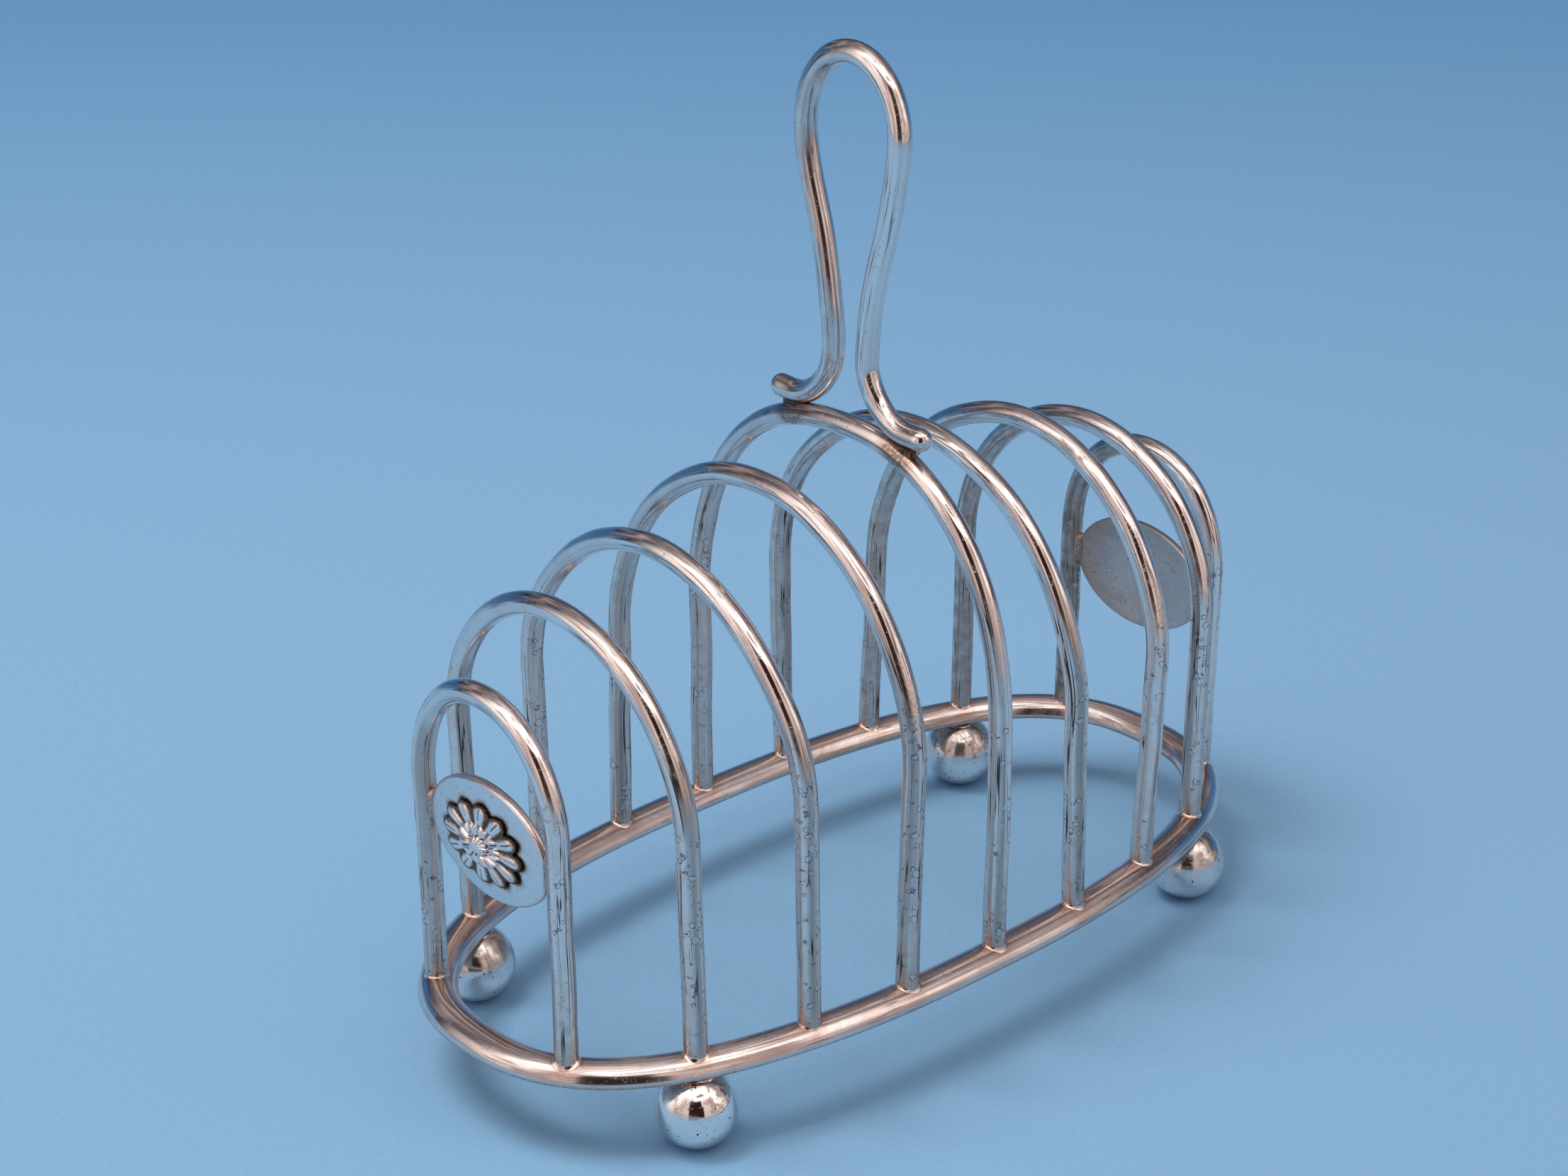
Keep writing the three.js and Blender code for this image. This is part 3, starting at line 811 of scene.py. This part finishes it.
class Wear:
    """Coordinates, shades and shared noises from which the layers of a worn metal are made."""

    def __init__(self, n):
        self.n = n
        self.straight = n.add("ShaderNodeAttribute", attribute_name="straight").outputs["Vector"]
        self.patina, self.dull, self.age = (
            n.add("ShaderNodeAttribute", attribute_name=shade).outputs["Fac"] for shade in SHADES)
        self.cloud = n.noise(self.straight, 0.08, 4, 0.6)
        self.spots = n.noise(self.straight, 0.40, 3, 0.55)
        self.grain = n.noise(self.straight, 1.6, 4, 0.6)
        long_lines = n.scaled(self.straight, (1.0, 1.0, 0.018))
        self.streak = n.noise(long_lines, 0.9, 2, 0.5)
        self.hair = n.noise(long_lines, 3.2, 3, 0.6)

    def film_colour(self, clean, rosy, streaks):
        """Silver under a rosy film, a grey film on dull parts, drawn streaks, and the brown film of age
        with painted shade.
        """
        n = self.n
        strength = n.math("SUBTRACT", rosy, n.times(self.dull, rosy))
        film = n.times(n.band(self.cloud, 0.36, 0.64), strength, 0.85)
        colour = n.mix(film, clean, ROSY)
        colour = n.mix(n.times(self.dull, n.band(self.spots, 0.34, 0.66, 0.55, 1.0)), colour, GREY)
        drawn = n.band(n.noise(n.scaled(self.straight, (1.0, 1.0, 0.012)), 0.42, 3, 0.5), 0.47, 0.66)
        drawn = n.times(drawn, n.band(self.dull, 0.0, 1.0, 0.30, 1.0), 0.85 * streaks)
        colour = n.mix(drawn, colour, DRAWN)
        return n.mix(n.times(self.age, n.band(self.spots, 0.30, 0.68, 0.55, 1.0)), colour, SMOKE_AND_PAINTED_SHADE)

    def dark_lines(self, streaks):
        """Thin broken lines along the wire."""
        n = self.n
        broken = n.band(n.noise(n.scaled(self.straight, (0.5, 0.5, 0.10)), 0.9, 3, 0.6), 0.38, 0.50)
        contour = n.math("ABSOLUTE", n.math("SUBTRACT", self.streak, 0.50))
        thin = n.times(n.band(contour, 0.006, 0.020, 1.0, 0.0), broken)
        return n.times(thin, n.band(self.dull, 0.0, 0.6, 0.55, 1.0), streaks)

    def oxide_colour(self, colour):
        """The colour under copper, brown and black oxide, which on the back dish also paints a warm
        highlight and shade, and how brown it is.
        """
        n = self.n
        oxide = n.times(self.patina, n.band(self.grain, 0.25, 0.70, 0.75, 1.15))
        brown = n.band(oxide, 0.38, 0.80)
        colour = n.mix(n.times(n.band(oxide, 0.08, 0.42), 0.8), colour, COPPER)
        colour = n.mix(brown, colour, BROWN)
        return n.mix(n.band(oxide, 0.80, 1.15), colour, BLACK), brown

    def pit_dots(self, pits):
        """Small black pits in patches."""
        n = self.n
        cells = n.add("ShaderNodeTexVoronoi", {"Vector": self.straight, "Scale": 1.15}, feature="F1")
        size = n.times(cells.outputs["Color"], 0.26)
        dots = n.band(n.math("SUBTRACT", cells.outputs["Distance"], size), -0.02, 0.03, 1.0, 0.0)
        return n.times(dots, n.band(n.noise(self.straight, 0.22, 3, 0.6), 0.47, 0.55), pits)

    def scratches(self):
        """Hairline scratches across the run of the wire, which only the relief shows."""
        n = self.n
        skew = n.scaled(self.straight, (0.30, 0.55, 1.7))
        scratch = n.math("ABSOLUTE", n.math("SUBTRACT", n.noise(skew, 0.9, 2, 0.4, 0.6), 0.5))
        return n.times(n.band(scratch, 0.0, 0.006, 1.0, 0.0), n.band(self.spots, 0.50, 0.60))

    def nicks(self):
        """Short dark scratches."""
        n = self.n
        skew = n.scaled(self.straight, (1.5, 0.7, 1.9))
        nick = n.math("ABSOLUTE", n.math("SUBTRACT", n.noise(skew, 0.55, 2, 0.5, 0.9), 0.5))
        return n.times(n.band(nick, 0.003, 0.010, 1.0, 0.0), n.band(self.grain, 0.53, 0.60))

    def gloss(self, rough, brown, lines):
        n = self.n
        gloss = n.band(self.spots, 0.3, 0.7, rough, rough + 0.05)
        for rougher in (n.times(self.dull, n.band(self.spots, 0.3, 0.7, 0.14, 0.24)),
                        n.times(self.age, 0.10), n.times(brown, 0.22), n.times(lines, 0.15)):
            gloss = n.math("ADD", gloss, rougher)
        return gloss

    def relief(self, streaks, dents, dots):
        n = self.n
        relief = n.math("ADD", n.times(self.hair, 0.45 * streaks), n.times(self.streak, 1.6 * streaks))
        relief = n.times(relief, n.band(self.dull, 0.0, 0.8, 0.45, 1.0))
        relief = n.math("ADD", relief, n.times(self.spots, dents))
        relief = n.math("SUBTRACT", relief, n.times(self.scratches(), 0.5))
        return n.math("SUBTRACT", relief, n.times(dots, 1.5))

    def blisters(self, amount):
        """Irregular bubbles in the plating of dull legs: their rims and their insides."""
        n = self.n
        bent = n.add("ShaderNodeTexNoise", {"Vector": self.straight, "Scale": 1.3, "Detail": 2.0})
        bent = n.add("ShaderNodeVectorMath", {0: bent.outputs["Color"], 1: (1.1, 1.1, 1.1),
                                              2: self.straight}, operation="MULTIPLY_ADD").outputs[0]
        bubble = n.add("ShaderNodeTexVoronoi", {"Vector": bent, "Scale": 0.62, "Randomness": 1.0})
        picked = n.band(bubble.outputs["Color"], 0.36, 0.42)
        reach = n.band(bubble.outputs["Color"], 0.40, 0.80, 0.16, 0.46)
        off = n.math("SUBTRACT", bubble.outputs["Distance"], reach)
        zone = n.band(n.noise(self.straight, 0.07, 2), 0.44, 0.54)
        zone = n.times(zone, n.band(self.dull, 0.5, 1.0), amount)
        rim = n.times(n.band(n.math("ABSOLUTE", off), 0.015, 0.065, 1.0, 0.0), picked, zone)
        return rim, n.times(n.band(off, -0.10, 0.0, 1.0, 0.0), picked, zone)

    def turning(self, amount):
        """Fine lathe rings in patches."""
        n = self.n
        rings = n.noise(n.scaled(self.straight, (0.05, 0.05, 1.0)), 3.0, 4, 0.7)
        return n.times(rings, n.band(n.noise(self.straight, 0.10, 2), 0.45, 0.60), amount)


def silver(name, clean=CLEAN, rough=0.08, streaks=1.0, blisters=0.0, pits=0.3, lathe=0.0, rosy=0.5,
           dents=0.6, scratches=0.0):
    """Worn silver plate: bright metal, warm tarnish, grey dull parts, dark oxide near joints, fine wear."""
    material, n = empty_material(name)
    wear = Wear(n)
    lines = wear.dark_lines(streaks)
    colour = n.mix(n.times(lines, 0.95), wear.film_colour(clean, rosy, streaks), LINE)
    colour, brown = wear.oxide_colour(colour)
    dots = wear.pit_dots(pits)
    colour = n.mix(dots, colour, BLACK)
    colour = n.mix(n.times(wear.nicks(), scratches), colour, BLACK)
    relief = wear.relief(streaks, dents, dots)
    if blisters:
        rim, inside = wear.blisters(blisters)
        colour = n.mix(n.times(rim, 0.85), colour, BLISTER_RIM)
        colour = n.mix(n.times(inside, 0.28), colour, CLEAN)
        relief = n.math("ADD", relief, n.times(inside, 0.9))
    if lathe:
        relief = n.math("ADD", relief, wear.turning(lathe))
    bump = n.add("ShaderNodeBump", {"Height": relief, "Strength": 0.40, "Distance": 0.00006}).outputs[0]
    shader = n.add("ShaderNodeBsdfPrincipled", {"Base Color": colour, "Metallic": 1.0, "Normal": bump,
                                                "Roughness": wear.gloss(rough, brown, lines)})
    n.add("ShaderNodeOutputMaterial", {"Surface": shader.outputs[0]})
    return material


def paper():
    """Pale seamless paper for the floor, deeper in tone towards the far wall."""
    material, n = empty_material("floor_paper")
    place = n.add("ShaderNodeNewGeometry").outputs["Position"]
    fibre = n.band(n.noise(place, 900.0, 3, 0.6), 0.3, 0.7)
    near = n.mix(fibre, (0.21, 0.42, 0.65, 1), (0.23, 0.44, 0.67, 1))
    deep = n.mix(fibre, (0.08, 0.275, 0.55, 1), (0.10, 0.295, 0.57, 1))
    colour = n.mix(n.band(n.dot(place, (0.668, 0.744, 0)), 0.05, 1.0), near, deep)
    shader = n.add("ShaderNodeBsdfPrincipled", {"Base Color": colour, "Roughness": 0.75})
    n.add("ShaderNodeOutputMaterial", {"Surface": shader.outputs[0]})
    return material


# ---- stage, light and camera --------------------------------------------------------------------------

FLOOR_FLAT_RADII = (0.2, 0.5, 1.0, 1.5)
FLOOR_SWEEP = 0.6
FLOOR_WALL_TOP = 0.75
FLOOR_SIDES = 96


def floor_profile():
    """The floor from its middle outward, then up a quarter round to a low wall: (radius, z), metres."""
    edge = FLOOR_FLAT_RADII[-1]
    profile = [(radius, 0.0) for radius in FLOOR_FLAT_RADII]
    for k in range(1, 13):
        turn = math.pi / 2 * k / 12
        profile.append((edge + FLOOR_SWEEP * math.sin(turn), FLOOR_SWEEP * (1 - math.cos(turn))))
    return profile + [(edge + FLOOR_SWEEP, FLOOR_WALL_TOP)]


def add_floor():
    """A wide floor that curves up into a low wall all round."""
    profile = floor_profile()
    vertices = [(0.0, 0.0, 0.0)]
    for radius, z in profile:
        for j in range(FLOOR_SIDES):
            turn = 2 * math.pi * j / FLOOR_SIDES
            vertices.append((radius * math.cos(turn), radius * math.sin(turn), z))
    faces = [(0, 1 + j, 1 + (j + 1) % FLOOR_SIDES) for j in range(FLOOR_SIDES)]
    for i in range(len(profile) - 1):
        for j in range(FLOOR_SIDES):
            a, b = 1 + i * FLOOR_SIDES + j, 1 + i * FLOOR_SIDES + (j + 1) % FLOOR_SIDES
            faces.append((a, a + FLOOR_SIDES, b + FLOOR_SIDES, b))
    mesh = bpy.data.meshes.new("floor")
    mesh.from_pydata(vertices, [], faces)
    mesh.polygons.foreach_set("use_smooth", [True] * len(mesh.polygons))
    mesh.materials.append(paper())
    floor = bpy.data.objects.new("floor", mesh)
    bpy.context.scene.collection.objects.link(floor)


CAMERA_PLACE = (-0.33412, -0.35675, 0.29754)
CAMERA_AIM = (-0.04321, -0.03264, 0.09574)
CAMERA_LENS = 71.607


def place_and_aim(thing, place, aim):
    bpy.context.scene.collection.objects.link(thing)
    thing.location = place
    thing.rotation_mode = "QUATERNION"
    thing.rotation_quaternion = (Vector(aim) - Vector(place)).to_track_quat("-Z", "Y")


def add_camera():
    data = bpy.data.cameras.new("camera")
    data.sensor_width = 36.0
    data.lens = CAMERA_LENS
    data.clip_start = 0.02
    data.clip_end = 20.0
    camera = bpy.data.objects.new("camera", data)
    place_and_aim(camera, CAMERA_PLACE, CAMERA_AIM)
    bpy.context.scene.camera = camera


def add_softbox(name, place, aim, size, power, colour):
    data = bpy.data.lights.new(name, "AREA")
    data.shape = "RECTANGLE"
    data.size, data.size_y = size
    data.energy = power
    data.color = colour
    light = bpy.data.objects.new(name, data)
    light.visible_glossy = False
    place_and_aim(light, place, aim)


def ramp(n, value, stops):
    """Colour that changes with a value through (place, colour) stops."""
    node = n.add("ShaderNodeValToRGB", {"Fac": value})
    node.color_ramp.interpolation = "LINEAR"
    elements = node.color_ramp.elements
    while len(elements) < len(stops):
        elements.new(0.5)
    for element, (position, colour) in zip(elements, stops):
        element.position = position
        element.color = (*colour, 1)
    return node.outputs[0]


# colours of the room by the sine of the elevation, on the side of the photograph's camera and opposite it
NEAR_SIDE = [
    (0.000, (0.10, 0.08, 0.085)),
    (0.014, (0.10, 0.08, 0.085)),
    (0.026, (0.80, 0.72, 0.70)),
    (0.40, (1.25, 1.12, 1.06)),
    (0.77, (1.60, 1.46, 1.39)),
    (0.80, (2.20, 2.06, 1.98)),
    (0.93, (2.20, 2.06, 1.98)),
    (0.97, (1.45, 1.32, 1.26)),
    (1.00, (1.05, 0.95, 0.90)),
]
FAR_SIDE = [
    (0.000, (0.03, 0.03, 0.035)),
    (0.370, (0.03, 0.03, 0.035)),
    (0.395, (0.09, 0.09, 0.11)),
    (0.66, (0.12, 0.11, 0.13)),
    (0.88, (0.26, 0.22, 0.23)),
    (0.96, (0.70, 0.62, 0.60)),
    (1.00, (1.05, 0.95, 0.90)),
]
ROOM_TURN = math.radians(-41.9)
DRIFT = (0.42, 0.34, 0.33, 1)
PANEL = (0.52, 0.38, 0.34, 1)
DOORWAY = (0.03, 0.014, 0.010, 1)


def studio_room(n, direction):
    """Colour of the studio in a direction: cream walls and a dark doorway on one side, a dim far side."""
    up = n.add("ShaderNodeSeparateXYZ", {0: direction}).outputs[2]
    toward = n.dot(direction, (math.sin(ROOM_TURN), -math.cos(ROOM_TURN), 0))
    across = n.dot(direction, (math.cos(ROOM_TURN), math.sin(ROOM_TURN), 0))
    bearing = n.math("ABSOLUTE", n.math("ARCTAN2", across, toward))

    def within(low, high):
        return n.band(bearing, math.radians(low), math.radians(high), 1.0, 0.0)

    far = n.band(bearing, math.radians(75), math.radians(105))
    colour = n.mix(far, ramp(n, up, NEAR_SIDE), ramp(n, up, FAR_SIDE))
    drift = n.band(n.noise(direction, 2.6, 3, 0.6, 0.4), 0.48, 0.60)
    colour = n.mix(n.times(drift, n.band(up, 0.02, 0.06)), colour, DRIFT)
    below = n.band(n.math("ARCSINE", up), math.radians(46), math.radians(49), 1.0, 0.0)
    above = n.band(up, 0.03, 0.05)
    colour = n.mix(n.times(within(50, 56), below, above, 0.62), colour, PANEL)
    return n.mix(n.times(within(18, 21), below, above), colour, DOORWAY)


def add_world():
    world = bpy.data.worlds.new("studio")
    bpy.context.scene.world = world
    world.use_nodes = True
    tree = world.node_tree
    tree.nodes.clear()
    n = Nodes(tree)
    direction = n.add("ShaderNodeTexCoord").outputs["Generated"]
    background = n.add("ShaderNodeBackground", {"Color": studio_room(n, direction), "Strength": 1.0})
    n.add("ShaderNodeOutputWorld", {"Surface": background.outputs[0]})


REFLECTION_GLOW_RADIUS = 0.78
REFLECTION_GLOW_HEIGHT = 0.42
REFLECTION_GLOW_HALF_ANGLE = math.radians(105)


def add_reflection_glow():
    """Low curved glowing panel, no lamp, at the edge of the table: it paints a reflection of the room into
    the polished metal, which alone sees it.
    """
    steps = 64
    front = ROOM_TURN - math.pi / 2
    vertices = []
    for k in range(steps + 1):
        turn = front + REFLECTION_GLOW_HALF_ANGLE * (2 * k / steps - 1)
        for z in (0.0, REFLECTION_GLOW_HEIGHT):
            vertices.append((REFLECTION_GLOW_RADIUS * math.cos(turn), REFLECTION_GLOW_RADIUS * math.sin(turn), z))
    faces = [(2 * k, 2 * k + 1, 2 * k + 3, 2 * k + 2) for k in range(steps)]
    material, n = empty_material("reflection_glow")
    place = n.add("ShaderNodeNewGeometry").outputs["Position"]
    direction = n.add("ShaderNodeVectorMath", {0: place}, operation="NORMALIZE").outputs[0]
    glow = n.add("ShaderNodeEmission", {"Color": studio_room(n, direction), "Strength": 1.0})
    n.add("ShaderNodeOutputMaterial", {"Surface": glow.outputs[0]})
    mesh = bpy.data.meshes.new("reflection_glow")
    mesh.from_pydata(vertices, [], faces)
    mesh.materials.append(material)
    reflection_glow = bpy.data.objects.new("reflection_glow", mesh)
    bpy.context.scene.collection.objects.link(reflection_glow)
    reflection_glow.visible_camera = False
    reflection_glow.visible_diffuse = False
    reflection_glow.visible_shadow = False


# ---- scene --------------------------------------------------------------------------------------------

add_camera()
add_floor()
add_world()
# glowing panel that paints a reflection of the room into the metal
add_reflection_glow()
add_softbox("key_light", (-0.38, 0.28, 1.25), (0, 0, 0.06), (0.50, 0.50), 9.0, (1.0, 0.95, 0.92))

wire_silver = silver("wire_silver", blisters=1.0, rosy=0.8, dents=0.25)
ring_silver = silver("ring_silver", clean=(0.93, 0.86, 0.85, 1), rough=0.10, rosy=1.0, dents=0.25)
ball_silver = silver("ball_silver", rough=0.05, streaks=0.0, pits=1.0, lathe=1.2, rosy=0.2, dents=0.35,
                     scratches=0.9)
plate_silver = silver("plate_silver", clean=(0.80, 0.81, 0.83, 1), rough=0.16, streaks=0.0, pits=0.3,
                      rosy=0.3, scratches=0.7)
dish_silver = silver("dish_silver", clean=(0.68, 0.66, 0.64, 1), rough=0.20, streaks=0.0, pits=0.6,
                     rosy=1.1, dents=1.2, scratches=0.6)
relief_silver = silver("relief_silver", rough=0.16, streaks=0.0, pits=0.0, rosy=0.3, dents=0.3)
solder_silver = silver("solder_silver", clean=(0.82, 0.69, 0.61, 1), rough=0.14, streaks=0.0,
                       pits=0.5)

add_ring(ring_silver)
for arch in range(len(ARCHES)):
    add_arch(arch, wire_silver)
    add_leg_solder(arch, solder_silver)
add_handle(wire_silver)
add_handle_solder(solder_silver)
for number, (arch, side) in enumerate(FEET, 1):
    add_ball(number, arch, side, ball_silver)
add_plate("plate_front", "end_plate_front", FIRST, -1, plate_silver)
add_plate("plate_back", "end_plate_back", LAST, 1, dish_silver)
add_plate_solder(FIRST, solder_silver)
add_plate_solder(LAST, solder_silver)
add_badge(relief_silver)

bpy.context.scene.view_settings.view_transform = "Standard"
